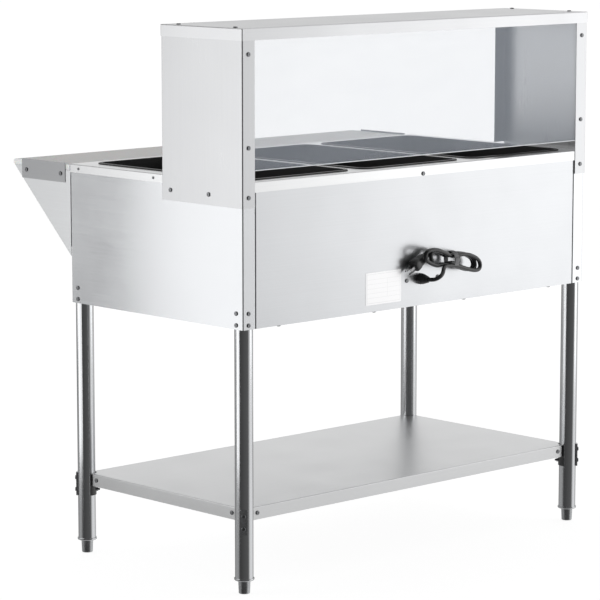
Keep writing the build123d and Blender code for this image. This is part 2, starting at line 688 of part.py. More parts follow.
def clamp_plate(sx, sy):
    """The outer clamp plate, hollowed to the leg's round."""
    cx, cy, diagonal, edge_x, edge_y = corner_place(sx, sy)
    outer = leg_radius + saddle_gap + clamp_thickness
    middle = (outer + leg_radius - 1) / 2
    place = Plane(origin=(cx + diagonal[0] * middle, cy + diagonal[1] * middle,
                          (clamp_top + clamp_bottom) / 2), x_dir=diagonal, z_dir=(0, 0, 1))
    plate = Box(outer - leg_radius + 1, clamp_width, clamp_top - clamp_bottom)
    plate = place * fillet(plate.edges().filter_by(Axis.X), 2.0)
    plate -= rod((cx, cy, clamp_bottom - 1), (0, 0, 1), leg_radius + saddle_gap,
                 clamp_top - clamp_bottom + 2)
    return drilled(plate, clamp_seats(sx, sy), clamp_bolt / 2 + hole_clearance)


def leg_tube(sx, sy):
    """A leg tube with cross holes for its clamp bolts."""
    cx, cy, diagonal, edge_x, edge_y = corner_place(sx, sy)
    low = collar_bottom + collar_height
    high = under_z - leg_top_gap
    tube = rod((cx, cy, low), (0, 0, 1), leg_radius, high - low)
    tube -= rod((cx, cy, low - 1), (0, 0, 1), leg_bore, high - low + 2)
    return drilled(tube, clamp_seats(sx, sy), clamp_bolt / 2 + hole_clearance, reach=60.0)


def leg_insert(sx, sy):
    """The collar pressed into the leg's end, bored for the foot's stem."""
    cx, cy, diagonal, edge_x, edge_y = corner_place(sx, sy)
    collar = rod((cx, cy, collar_bottom), (0, 0, 1), leg_radius + collar_proud, collar_height)
    collar = fillet(collar.edges().group_by(Axis.Z)[0], 3.0)
    collar = fillet(collar.edges().group_by(Axis.Z)[-1], 0.6)
    collar += rod((cx, cy, collar_bottom + collar_height - 1), (0, 0, 1), leg_bore - 0.02,
                  insert_length + 1)
    return collar - rod((cx, cy, 0), (0, 0, 1), stem_diameter / 2 + stem_clearance, 200)


def foot(sx, sy):
    """A bullet foot with its stem. The thread is left out."""
    cx, cy, diagonal, edge_x, edge_y = corner_place(sx, sy)
    height = collar_bottom - foot_gap
    body = Pos(cx, cy, height / 2) * Cone(foot_bottom_diameter / 2, foot_top_diameter / 2, height)
    body = fillet(body.edges().group_by(Axis.Z)[0], 2.0)
    body = fillet(body.edges().group_by(Axis.Z)[-1], 1.0)
    return body + rod((cx, cy, height - 1), (0, 0, 1), stem_diameter / 2, stem_length + 1)


socket_solids = []
insert_solids = []
plate_solids = []
saddle_solids = []
shelf_fasteners = []
for number, (sx, sy) in enumerate(corners, start=1):
    socket_solids.append(leg_socket(sx, sy))
    insert_solids.append(leg_insert(sx, sy))
    plate_solids.append(clamp_plate(sx, sy))
    saddle_solids.append(saddle_bracket(sx, sy))
    parts[f"leg_{number}"] = leg_tube(sx, sy)
    parts[f"foot_{number}"] = foot(sx, sy)
    bolt_length = leg_radius + saddle_gap + clamp_thickness + saddle_outer + 8
    for seat, outward in clamp_seats(sx, sy):
        shelf_fasteners.append(screw(seat, outward, clamp_bolt, bolt_length, head_height=3.0))
        back = leg_radius + saddle_gap + clamp_thickness + saddle_outer + 0.05
        nut_seat = tuple(s - o * back for s, o in zip(seat, outward))
        shelf_fasteners.append(nut(nut_seat, tuple(-o for o in outward), clamp_bolt))
    for seat, outward in side_seats(sx, sy):
        shelf_fasteners.append(screw(seat, outward, screw_diameter, 10.0))
parts["leg_sockets"] = Compound(children=socket_solids)
parts["leg_inserts"] = Compound(children=insert_solids)
parts["leg_clamp_plates"] = Compound(children=plate_solids)
parts["shelf_saddles"] = Compound(children=saddle_solids)
parts["shelf_bolts"] = Compound(children=shelf_fasteners)

# ---- undershelf ---------------------------------------------------------------------------------
shelf = tray(-shelf_edge_x, shelf_edge_x, shelf_front_y, shelf_back_y, shelf_height, shelf_fold,
             sheet, bend)
for sx, sy in corners:
    cx, cy, diagonal, edge_x, edge_y = corner_place(sx, sy)
    shelf -= rod((cx, cy, shelf_height - 60), (0, 0, 1), saddle_outer + 0.5, 80)
    shelf = drilled(shelf, side_seats(sx, sy), screw_hole)
parts["undershelf"] = shelf

# ---- overshelf and guard ------------------------------------------------------------------------
overshelf_front_y = post_back_y - overshelf_depth
top_outer = sheet
overshelf = tray(-post_outer_x - top_outer, post_outer_x + top_outer, overshelf_front_y - top_outer,
                 post_back_y + top_outer, top_z, rail_fold, sheet, bend)
parts["overshelf_top"] = drilled(overshelf, top_seats, screw_hole)


def overshelf_end(side):
    """An end panel of the overshelf: web outside the body, with front, back and top flanges."""
    web = post_outer_x - sheet / 2
    hem = post_outer_x - post_width + sheet / 2
    front = overshelf_front_y + sheet / 2
    back = post_back_y - sheet / 2
    high = top_z - sheet - 0.1
    low = deck_height - post_overlap
    section = folded([(side * hem, front), (side * web, front), (side * web, back), (side * hem, back)],
                     sheet, bend)
    panel = Pos(0, 0, low) * extrude(section, amount=high - low)
    reach = sorted((side * (hem - 5), side * end_x))
    panel -= block(*reach, overshelf_front_y - 1, overshelf_front_y + 5, low - 1,
                   deck_height + rim_height + 1)
    inner = sorted((side * (web - 36), side * web))
    panel += block(*inner, overshelf_front_y + 2 * sheet, post_back_y - 2 * sheet, high - sheet, high)
    panel = drilled(panel, top_seats, screw_hole)
    return drilled(panel, guard_seats + post_seats + post_side_seats, screw_hole)


parts["overshelf_end_right"] = overshelf_end(1)
parts["overshelf_end_left"] = overshelf_end(-1)

guard_top_gap = 4.0
guard_half = end_x - 2.5
guard = block(-guard_half, guard_half, back_y - guard_thickness, back_y, deck_height + guard_lift,
              top_z - guard_top_gap)
guard = fillet(guard.edges().filter_by(Axis.Y), 3.0)
parts["sneeze_guard"] = drilled(guard, guard_seats, screw_hole + 0.5)

# ---- cutting board and its brackets -------------------------------------------------------------
board_top_z = deck_height - board_drop
board_bottom_z = board_top_z - board_thickness
gusset_top_z = board_bottom_z - board_rest_gap
board_half = web_x - board_end_gap
nose_y = front_y - board_reach
board = block(-board_half, board_half, nose_y, front_y - board_back_gap, board_bottom_z, board_top_z)
nose_edges = board.edges().filter_by(Axis.X).group_by(Axis.Y)[0]
board = fillet(nose_edges, board_thickness * 0.46)
parts["cutting_board"] = fillet(board.edges().filter_by(Axis.X).group_by(Axis.Y)[-1], 1.0)


def ledge_gusset(side):
    """A triangular bracket with a flange under the board and a flange on the body."""
    inner = web_x - gusset_thickness
    profile = [(front_y, gusset_top_z), (nose_y + 6, gusset_top_z), (front_y, deck_height - gusset_drop)]
    face = Plane(origin=(side * inner, 0, 0), x_dir=(0, 1, 0), z_dir=(1, 0, 0)) * make_face(
        Polyline(*profile, close=True))
    plate = extrude(face, amount=side * gusset_thickness)
    low_x, high_x = sorted((side * (web_x - gusset_flange), side * (web_x - gusset_thickness / 2)))
    plate += block(low_x, high_x, nose_y + 16, front_y - 0.1, gusset_top_z - gusset_thickness, gusset_top_z)
    plate += block(low_x, high_x, front_y - gusset_thickness, front_y, deck_height - gusset_drop + 22,
                   gusset_top_z - 6)
    plate = drilled(plate, plate_seats, screw_hole)
    return drilled(plate, gusset_seats, screw_hole)


def end_plate(side):
    """The plate outside a gusset that keeps the board's end in place."""
    plate = block(-sheet / 2, sheet / 2, plate_front_y, plate_back_y, deck_height - end_plate_height,
                  deck_height + 0.8)
    plate = Pos(side * (end_x - sheet / 2), 0, 0) * fillet(plate.edges().filter_by(Axis.X), 1.5)
    return drilled(plate, plate_seats, screw_hole)


for side, name in ((1, "right"), (-1, "left")):
    parts[f"ledge_gusset_{name}"] = ledge_gusset(side)
    parts[f"ledge_end_plate_{name}"] = end_plate(side)

# ---- fastener groups ----------------------------------------------------------------------------
body_screws = [screw(seat, outward, screw_diameter, 8.0) for seat, outward in corner_seats]
body_screws += [screw(seat, outward, rivet_diameter, 5.0, head_height=1.4) for seat, outward in band_seats]
body_screws += [screw(seat, outward, screw_diameter, 7.0) for seat, outward in fold_seats]
body_screws += [screw(seat, outward, screw_diameter, 8.0, head_height=3.0) for seat, outward in bottom_seats]
body_screws += [screw(seat, outward, screw_diameter, 8.0) for seat, outward in box_seats]
parts["body_screws"] = Compound(children=body_screws)

overshelf_screws = [screw(seat, outward, screw_diameter, 12.0) for seat, outward in guard_seats]
for seat, outward in guard_seats:
    nut_seat = (seat[0], back_y - guard_thickness - 0.05, seat[2])
    overshelf_screws.append(nut(nut_seat, (0, -1, 0), screw_diameter))
overshelf_screws += [screw(seat, outward, screw_diameter, 9.0) for seat, outward in post_seats]
overshelf_screws += [screw(seat, outward, screw_diameter, 9.0) for seat, outward in post_side_seats]
overshelf_screws += [screw(seat, outward, screw_diameter, 7.0) for seat, outward in top_seats]
parts["overshelf_screws"] = Compound(children=overshelf_screws)

ledge_screws = [screw(seat, outward, screw_diameter, 8.0) for seat, outward in plate_seats]
ledge_screws += [screw(seat, outward, screw_diameter, 10.0)
                 for seat, outward in [((s[0], front_y - gusset_thickness, s[2]), o) for s, o in gusset_seats]]
parts["ledge_screws"] = Compound(children=ledge_screws)

# ---- write one file for each node ---------------------------------------------------------------
os.makedirs("parts", exist_ok=True)
for name, shape in parts.items():
    export_step(shape, f"parts/{name}.step")
print(len(parts), "nodes")
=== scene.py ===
"""Looks of an electric steam table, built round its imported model.

Each sub-assembly is a class that dresses the model's own pieces and adds the ones that need a finer
shape: the tied supply cord, its plug, gland and strap, the knobs and their dials. Metres, +Z up,
+X along the table, +Y to the customer side.
"""
import logging
import math
from dataclasses import dataclass, field
from enum import Enum
from typing import Any, Sequence, Union

import bmesh
import bpy
import numpy as np
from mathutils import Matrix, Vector


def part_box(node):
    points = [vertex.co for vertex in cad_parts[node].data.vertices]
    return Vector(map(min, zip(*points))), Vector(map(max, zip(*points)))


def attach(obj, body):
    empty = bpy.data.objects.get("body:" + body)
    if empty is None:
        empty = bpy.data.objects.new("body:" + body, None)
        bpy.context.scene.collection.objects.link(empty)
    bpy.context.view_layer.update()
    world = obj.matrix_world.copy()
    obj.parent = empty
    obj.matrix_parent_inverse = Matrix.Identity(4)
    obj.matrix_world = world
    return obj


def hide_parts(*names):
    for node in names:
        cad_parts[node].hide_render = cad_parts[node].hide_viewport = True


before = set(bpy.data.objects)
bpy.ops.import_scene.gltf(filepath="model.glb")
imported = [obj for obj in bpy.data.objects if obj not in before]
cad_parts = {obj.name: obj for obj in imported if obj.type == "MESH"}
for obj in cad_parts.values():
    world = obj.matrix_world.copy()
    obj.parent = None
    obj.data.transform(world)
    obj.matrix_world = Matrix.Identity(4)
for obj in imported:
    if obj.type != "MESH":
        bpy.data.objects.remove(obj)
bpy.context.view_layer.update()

LOG = logging.getLogger("steam_table")
TABLE = "table"
Number = Union["Wire", float]
Colour = tuple[float, float, float]


# ---- shader arithmetic ---------------------------------------------------------------------------
class Wire:
    """A shader value. Arithmetic on it adds Math nodes to its painter's tree."""

    def __init__(self, painter: "Painter", socket: bpy.types.NodeSocket) -> None:
        """Keeps the socket that carries the value.

        Args:
            painter: the painter whose tree holds the socket.
            socket: the output socket.
        """
        self.painter = painter
        self.socket = socket

    def _math(self, operation: str, left: Number, right: Number = 0.0) -> "Wire":
        """Adds one Math node.

        Args:
            operation: the node's operation.
            left: its first value.
            right: its second value.

        Returns:
            The node's result.
        """
        return self.painter.node("ShaderNodeMath", {0: left, 1: right}, operation=operation)

    def __add__(self, other: Number) -> "Wire":
        """Self plus other."""
        return self._math("ADD", self, other)

    def __radd__(self, other: Number) -> "Wire":
        """Other plus self."""
        return self._math("ADD", other, self)

    def __sub__(self, other: Number) -> "Wire":
        """Self minus other."""
        return self._math("SUBTRACT", self, other)

    def __rsub__(self, other: Number) -> "Wire":
        """Other minus self."""
        return self._math("SUBTRACT", other, self)

    def __mul__(self, other: Number) -> "Wire":
        """Self times other."""
        return self._math("MULTIPLY", self, other)

    def __rmul__(self, other: Number) -> "Wire":
        """Other times self."""
        return self._math("MULTIPLY", other, self)

    def __truediv__(self, other: Number) -> "Wire":
        """Self over other."""
        return self._math("DIVIDE", self, other)

    def __rtruediv__(self, other: Number) -> "Wire":
        """Other over self."""
        return self._math("DIVIDE", other, self)

    def __abs__(self) -> "Wire":
        """The size of the value without its sign."""
        return self._math("ABSOLUTE", self)

    def sine(self) -> "Wire":
        """The sine of the value in radians."""
        return self._math("SINE", self)

    def peak(self, other: Number) -> "Wire":
        """The larger of self and other."""
        return self._math("MAXIMUM", self, other)

    def under(self, limit: Number) -> "Wire":
        """One where the value is under the limit, otherwise nought."""
        return self._math("LESS_THAN", self, limit)

    def between(self, low: float, high: float) -> "Wire":
        """A smooth step from nought at low to one at high."""
        return self.painter.node("ShaderNodeMapRange", {0: self, 1: low, 2: high},
                                 interpolation_type="SMOOTHSTEP")


class Painter:
    """Builds one material: nodes are added through one method and read back as wires."""

    def __init__(self, name: str) -> None:
        """Starts a material with a Principled BSDF.

        Args:
            name: the material's name.
        """
        self.material = bpy.data.materials.new(name)
        self.material.use_nodes = True
        self.tree = self.material.node_tree
        self.shader = self.tree.nodes["Principled BSDF"]

    def feed(self, socket: bpy.types.NodeSocket, value: Any) -> None:
        """Links a wire to a socket, or sets the socket's own value."""
        if isinstance(value, Wire):
            self.tree.links.new(value.socket, socket)
        else:
            socket.default_value = value

    def node(self, kind: str, inputs: dict[Any, Any], output: Any = 0, **settings: Any) -> Wire:
        """Adds a node.

        Args:
            kind: the node's type.
            inputs: values or wires by socket name or number.
            output: which output to return.
            **settings: properties of the node.

        Returns:
            The chosen output.
        """
        made = self.tree.nodes.new(kind)
        for name, value in settings.items():
            setattr(made, name, value)
        for key, value in inputs.items():
            self.feed(made.inputs[key], value)
        return Wire(self, made.outputs[output])

    def place(self, centre: Sequence[float] = (0.0, 0.0, 0.0),
              scale: Sequence[float] = (1.0, 1.0, 1.0)) -> Wire:
        """Object coordinates, moved so that centre is nought and then scaled."""
        coordinates = self.node("ShaderNodeTexCoord", {}, "Object")
        shift = [-c * s for c, s in zip(centre, scale)]
        return self.node("ShaderNodeMapping", {"Vector": coordinates, "Location": shift, "Scale": scale})

    def axes(self, centre: Sequence[float] = (0.0, 0.0, 0.0)) -> tuple[Wire, Wire, Wire]:
        """The three object coordinates as separate wires."""
        vector = self.place(centre)
        first = self.node("ShaderNodeSeparateXYZ", {0: vector})
        outputs = first.socket.node.outputs
        return first, Wire(self, outputs[1]), Wire(self, outputs[2])

    def noise(self, scale: Sequence[float], detail: float = 3.0, rough: float = 0.55) -> Wire:
        """Noise from 0 to 1 over object coordinates.

        Args:
            scale: cells per metre along X, Y and Z; unequal ones draw the noise into streaks.
            detail: octaves.
            rough: how strong the finer octaves are.

        Returns:
            The noise value.
        """
        return self.node("ShaderNodeTexNoise", {"Vector": self.place(scale=scale), "Scale": 1.0,
                                                "Detail": detail, "Roughness": rough})

    def cells(self, scale: float) -> Wire:
        """Distance to the nearest cell centre, for grains and pits."""
        return self.node("ShaderNodeTexVoronoi", {"Vector": self.place(scale=(scale,) * 3), "Scale": 1.0})

    def blend(self, factor: Number, first: Colour, second: Colour) -> Wire:
        """Mixes two colours by a wire."""
        return self.node("ShaderNodeMix", {0: factor, 6: (*first, 1.0), 7: (*second, 1.0)}, 2,
                         data_type="RGBA", clamp_factor=True)

    def blend_over(self, factor: Number, first: Wire, second: Colour) -> Wire:
        """Lays a colour over a colour wire."""
        return self.node("ShaderNodeMix", {0: factor, 6: first, 7: (*second, 1.0)}, 2,
                         data_type="RGBA", clamp_factor=True)

    def relief(self, height: Wire, depth: float, strength: float = 1.0, under: Wire | None = None) -> Wire:
        """A bump whose height wire runs from 0 to 1 over depth metres."""
        inputs = {"Height": height, "Distance": depth, "Strength": strength}
        if under is not None:
            inputs["Normal"] = under
        return self.node("ShaderNodeBump", inputs)

    def finish(self, **values: Any) -> bpy.types.Material:
        """Feeds the Principled BSDF and returns the material.

        Args:
            **values: socket names with underscores for spaces, and their values or wires.

        Returns:
            The finished material.
        """
        for name, value in values.items():
            self.feed(self.shader.inputs[name.replace("_", " ")], value)
        return self.material


# ---- finishes ------------------------------------------------------------------------------------
class Grain(Enum):
    """Which way a sheet's brushing runs, as noise cells per metre along X, Y and Z."""

    ALONG_X = (5.0, 700.0, 700.0)
    ALONG_Y = (700.0, 5.0, 700.0)
    ALONG_Z = (700.0, 700.0, 5.0)


def shade(colour: Colour, factor: float) -> Colour:
    """A colour made lighter or darker by a factor, kept within 1."""
    return tuple(min(1.0, channel * factor) for channel in colour)


@dataclass(frozen=True)
class BrushedSteel:
    """Stainless sheet: long fine scratches, faint rolling waves and uneven handling marks."""

    name: str
    colour: Colour = (0.66, 0.67, 0.685)
    roughness: float = 0.3
    grain: Grain = Grain.ALONG_X
    wave: float = 0.0012

    def material(self) -> bpy.types.Material:
        """Paints streaks into colour, roughness and bump, over slow waves of the sheet."""
        painter = Painter(self.name)
        streaks = painter.noise(self.grain.value, 4.0, 0.7)
        broad = painter.noise([value * 0.16 for value in self.grain.value], 2.0)
        marks = painter.noise((7.0, 7.0, 7.0), 3.0)
        swell = painter.noise((2.6, 2.6, 2.6), 1.0, 0.3)
        tone = streaks * 0.6 + broad * 0.12 + marks * 0.28
        colour = painter.blend(tone, shade(self.colour, 0.9), shade(self.colour, 1.08))
        rough = (streaks - 0.5) * 0.1 + (marks - 0.5) * 0.1 + self.roughness
        waves = painter.relief(swell, self.wave)
        normal = painter.relief(streaks, 0.00002, 0.5, waves)
        return painter.finish(Base_Color=colour, Metallic=1.0, Roughness=rough, Normal=normal)


@dataclass(frozen=True)
class PolishedTube:
    """Tube drawn and polished along its length, with faint rings from the belt and painted shade where it
    turns from the view.
    """

    name: str
    colour: Colour = (0.72, 0.73, 0.745)
    roughness: float = 0.16

    def material(self) -> bpy.types.Material:
        """Paints rings and drawn lines into roughness and bump, and painted shade into the colour on the
        sides turned from the view.
        """
        painter = Painter(self.name)
        rings = painter.noise((30.0, 30.0, 900.0), 3.0, 0.6)
        lines = painter.noise((600.0, 600.0, 4.0), 3.0, 0.6)
        spots = painter.noise((16.0, 16.0, 6.0), 3.0)
        drawn = painter.blend(lines * 0.5 + spots * 0.5, shade(self.colour, 0.9), shade(self.colour, 1.08))
        # painted shade: the colour darkens towards the tube's edges as they turn from the view
        painted_edge_shade = painter.node("ShaderNodeLayerWeight", {"Blend": 0.5}, "Facing").between(0.45, 0.72)
        colour = painter.blend_over(painted_edge_shade * 0.7, drawn, shade(self.colour, 0.3))
        rough = (rings - 0.5) * 0.1 + (spots - 0.5) * 0.14 + self.roughness
        return painter.finish(Base_Color=colour, Metallic=1.0, Roughness=rough,
                              Normal=painter.relief(rings + lines, 0.00002, 0.5))


@dataclass(frozen=True)
class PlatedSteel:
    """Zinc or nickel plate on small parts: spangle, dull patches and specks."""

    name: str
    colour: Colour = (0.55, 0.56, 0.58)
    roughness: float = 0.34

    def material(self) -> bpy.types.Material:
        """Paints spangle cells and patches."""
        painter = Painter(self.name)
        spangle = painter.cells(260.0)
        patches = painter.noise((60.0, 60.0, 60.0), 4.0, 0.6)
        tone = spangle * 0.6 + patches * 0.4
        colour = painter.blend(tone, shade(self.colour, 0.72), shade(self.colour, 1.2))
        rough = (patches - 0.5) * 0.3 + self.roughness
        return painter.finish(Base_Color=colour, Metallic=1.0, Roughness=rough,
                              Normal=painter.relief(patches, 0.0001, 0.4))


@dataclass(frozen=True)
class PaintedShadeBlack:
    """Black painted into the wells as painted shade: orange peel and dull patches."""

    name: str
    colour: Colour = (0.017, 0.0165, 0.0165)
    roughness: float = 0.42
    peel: float = 420.0

    def material(self) -> bpy.types.Material:
        """Paints orange peel and dull patches on black."""
        painter = Painter(self.name)
        peel = painter.noise((self.peel,) * 3, 2.0)
        patches = painter.noise((14.0, 14.0, 14.0), 4.0, 0.6)
        colour = painter.blend(patches, shade(self.colour, 0.8), shade(self.colour, 1.5))
        rough = (patches - 0.5) * 0.25 + self.roughness
        return painter.finish(Base_Color=colour, Metallic=0.0, Roughness=rough,
                              Normal=painter.relief(peel, 0.00012, 0.5))


@dataclass(frozen=True)
class HeatedSheath:
    """A heating element's sheath: dull dark metal with brown and blue heat bands."""

    name: str

    def material(self) -> bpy.types.Material:
        """Paints slow heat colours and a fine scale."""
        painter = Painter(self.name)
        heat = painter.noise((9.0, 9.0, 9.0), 3.0)
        scale = painter.noise((900.0, 900.0, 900.0), 3.0, 0.7)
        warm = painter.blend(heat.between(0.35, 0.65), (0.1, 0.075, 0.05), (0.11, 0.115, 0.13))
        colour = painter.blend_over(scale.between(0.55, 0.8) * 0.5, warm, (0.05, 0.05, 0.05))
        return painter.finish(Base_Color=colour, Metallic=0.8, Roughness=scale * 0.3 + 0.4,
                              Normal=painter.relief(scale, 0.00008, 0.6))


@dataclass(frozen=True)
class ClearSheet:
    """Clear acrylic with a faint hazy veil, partly a painted reflection of the sky, and bright sawn edges.
    """

    name: str
    low: tuple[float, float, float]
    high: tuple[float, float, float]
    haze_and_sky_reflection: float = 0.2
    rim_start: float = 0.0022
    rim_full: float = 0.0012

    def material(self) -> bpy.types.Material:
        """Mixes a bluish veil on the faces, partly haziness and partly a painted reflection of the sky,
        with nearly solid light edges, by distance from the sheet's rim.
        """
        painter = Painter(self.name)
        centre = [(a + b) / 2 for a, b in zip(self.low, self.high)]
        x, _, z = painter.axes(centre)
        half_x = (self.high[0] - self.low[0]) / 2
        half_z = (self.high[2] - self.low[2]) / 2
        rim_x = abs(x).between(half_x - self.rim_start, half_x - self.rim_full)
        rim_z = abs(z).between(half_z - self.rim_start, half_z - self.rim_full)
        rim = rim_x.peak(rim_z)
        smears = painter.noise((5.0, 5.0, 14.0), 4.0, 0.6)
        # painted reflection: the veil's alpha and bluish colour stand partly for haziness and partly for
        # the sky reflected in the sheet
        alpha = rim * (0.9 - self.haze_and_sky_reflection) + self.haze_and_sky_reflection + (smears - 0.5) * 0.05
        colour = painter.blend(rim, (0.82, 0.89, 1.0), (0.95, 0.98, 1.0))
        rough = smears * 0.08 + 0.03
        return painter.finish(Base_Color=colour, Metallic=0.0, Roughness=rough, Alpha=alpha, IOR=1.49,
                              Specular_IOR_Level=0.5)


@dataclass(frozen=True)
class BoardPlastic:
    """White board plastic: knife marks in several directions, stains and a rolled texture."""

    name: str
    colour: Colour = (0.83, 0.835, 0.825)

    def material(self) -> bpy.types.Material:
        """Paints three families of thin scratches over a fine pebble."""
        painter = Painter(self.name)
        cuts = painter.noise((26.0, 1400.0, 60.0), 2.0, 0.4).between(0.66, 0.74)
        for scale in ((900.0, 22.0, 60.0), (300.0, 420.0, 60.0)):
            cuts = cuts.peak(painter.noise(scale, 2.0, 0.4).between(0.68, 0.75))
        pebble = painter.noise((1100.0, 1100.0, 1100.0), 2.0)
        stains = painter.noise((9.0, 9.0, 9.0), 4.0, 0.6)
        base = painter.blend(stains, shade(self.colour, 0.93), shade(self.colour, 1.05))
        colour = painter.blend_over(cuts * 0.25, base, shade(self.colour, 0.72))
        height = pebble * 0.35 - cuts
        return painter.finish(Base_Color=colour, Roughness=stains * 0.2 + 0.38, Subsurface_Weight=0.08,
                              Normal=painter.relief(height, 0.00012, 0.6))


@dataclass(frozen=True)
class Moulded:
    """Moulded plastic or rubber: a pebbled skin and dull, rubbed patches."""

    name: str
    colour: Colour
    roughness: float = 0.45
    pebble: float = 900.0
    depth: float = 0.00006
    coat: float = 0.0

    def material(self) -> bpy.types.Material:
        """Paints a fine pebble with uneven gloss."""
        painter = Painter(self.name)
        pebble = painter.noise((self.pebble,) * 3, 3.0, 0.6)
        rubbed = painter.noise((45.0, 45.0, 45.0), 4.0, 0.6)
        tone = rubbed * 0.7 + pebble * 0.3
        colour = painter.blend(tone, shade(self.colour, 0.8), shade(self.colour, 1.3))
        rough = (rubbed - 0.5) * 0.22 + (pebble - 0.5) * 0.08 + self.roughness
        return painter.finish(Base_Color=colour, Roughness=rough, Coat_Weight=self.coat,
                              Normal=painter.relief(pebble, self.depth, 0.6))


@dataclass(frozen=True)
class Blanket:
    """Glass wool: yellow fibres in tufts."""

    name: str

    def material(self) -> bpy.types.Material:
        """Paints fibres over soft tufts."""
        painter = Painter(self.name)
        fibre = painter.noise((1500.0, 300.0, 700.0), 3.0, 0.7)
        tufts = painter.noise((60.0, 60.0, 60.0), 4.0)
        colour = painter.blend(fibre * 0.6 + tufts * 0.4, (0.5, 0.42, 0.2), (0.85, 0.8, 0.55))
        return painter.finish(Base_Color=colour, Roughness=0.9, Sheen_Weight=0.3,
                              Normal=painter.relief(fibre + tufts, 0.0012, 0.8))


@dataclass(frozen=True)
class RatingFoil:
    """A blank foil plate with a printed frame, ruled rows and empty boxes, and no lettering."""

    name: str
    low: tuple[float, float, float]
    high: tuple[float, float, float]

    def material(self) -> bpy.types.Material:
        """Draws the frame and rows as thin lines in the plate's plane."""
        painter = Painter(self.name)
        half_x = (self.high[0] - self.low[0]) / 2
        half_z = (self.high[2] - self.low[2]) / 2
        x, _, z = painter.axes([(a + b) / 2 for a, b in zip(self.low, self.high)])
        frame_x = abs(abs(x) - (half_x - 0.004)).under(0.0005) * abs(z).under(half_z - 0.0035)
        frame_z = abs(abs(z) - (half_z - 0.004)).under(0.0005) * abs(x).under(half_x - 0.0035)
        rows = abs((z * (math.pi / 0.0105)).sine()).under(0.09) * abs(x).under(half_x - 0.004)
        rows = rows * abs(z).under(half_z - 0.012)
        column = abs(x + 0.012).under(0.0004) * abs(z).under(half_z - 0.0155)
        ink = frame_x.peak(frame_z).peak(rows).peak(column)
        grain = painter.noise((900.0, 900.0, 20.0), 3.0)
        base = painter.blend(grain, (0.95, 0.95, 0.955), (0.985, 0.985, 0.99))
        colour = painter.blend_over(ink * 0.35, base, (0.55, 0.55, 0.56))
        return painter.finish(Base_Color=colour, Metallic=0.75, Roughness=grain * 0.1 + 0.32)


@dataclass(frozen=True)
class DialPrint:
    """A satin dial plate with ticks round the knob and a solid off mark."""

    name: str
    centre: tuple[float, float, float]
    inner: float
    outer: float

    def material(self) -> bpy.types.Material:
        """Draws ticks by angle: a tick shows where a wave of the angle is nearly nought."""
        painter = Painter(self.name)
        x, _, z = painter.axes(self.centre)
        angle = painter.node("ShaderNodeMath", {0: x, 1: z}, operation="ARCTAN2")
        radius = painter.node("ShaderNodeMath", {0: x * x + z * z}, operation="SQRT")
        ticks = abs((angle * 6.0).sine()).under(0.16) * radius.between(self.inner, self.inner + 0.0004)
        ticks = ticks * (1.0 - radius.between(self.outer - 0.0012, self.outer - 0.0008))
        off = abs(angle).under(0.11) * radius.between(self.inner, self.inner + 0.0004)
        grain = painter.noise((900.0, 900.0, 20.0), 3.0)
        base = painter.blend(grain, (0.035, 0.035, 0.037), (0.06, 0.06, 0.062))
        white = painter.blend_over(ticks, base, (0.85, 0.85, 0.83))
        colour = painter.blend_over(off, white, (0.7, 0.05, 0.03))
        return painter.finish(Base_Color=colour, Roughness=grain * 0.15 + 0.35)


# ---- mesh building -------------------------------------------------------------------------------
def grid_faces(rows: int, columns: int, round_rows: bool, round_columns: bool) -> np.ndarray:
    """Corner numbers of the quads of a grid.

    Args:
        rows: points along the first parameter.
        columns: points along the second.
        round_rows: whether the last row joins the first.
        round_columns: whether the last column joins the first.

    Returns:
        One row of four point numbers for each quad.
    """
    row = np.arange(rows if round_rows else rows - 1)[:, None]
    column = np.arange(columns if round_columns else columns - 1)[None, :]
    next_row, next_column = (row + 1) % rows, (column + 1) % columns
    corners = (row * columns + column, row * columns + next_column,
               next_row * columns + next_column, next_row * columns + column)
    return np.stack([np.broadcast_to(part, (row.size, column.size)) for part in corners], -1).reshape(-1, 4)


def make_piece(name: str, grids: Sequence[tuple[np.ndarray, bool, bool]], material: bpy.types.Material,
               body: str, sharp: float = 40.0) -> bpy.types.Object:
    """Makes one object from closed surfaces given as grids of points.

    Args:
        name: the piece's name.
        grids: for each surface, its points (rows, columns, 3) and whether rows and columns close.
        material: its finish.
        body: the body that it rides on.
        sharp: the angle in degrees past which an edge stays sharp.

    Returns:
        The new object, with poles merged and faces outwards.
    """
    points, faces, start = [], [], 0
    for grid, round_rows, round_columns in grids:
        rows, columns = grid.shape[:2]
        points.append(grid.reshape(-1, 3))
        faces.append(grid_faces(rows, columns, round_rows, round_columns) + start)
        start += rows * columns
    mesh = bpy.data.meshes.new(name)
    mesh.from_pydata(np.concatenate(points), [], np.concatenate(faces))
    work = bmesh.new()
    work.from_mesh(mesh)
    bmesh.ops.remove_doubles(work, verts=work.verts, dist=1e-6)
    bmesh.ops.recalc_face_normals(work, faces=work.faces)
    work.to_mesh(mesh)
    work.free()
    mesh.shade_smooth()
    mesh.set_sharp_from_angle(angle=math.radians(sharp))
    mesh.materials.append(material)
    piece = bpy.data.objects.new(name, mesh)
    bpy.context.scene.collection.objects.link(piece)
    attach(piece, body)
    LOG.info("%s: %d faces on %s", name, len(mesh.polygons), body)
    return piece


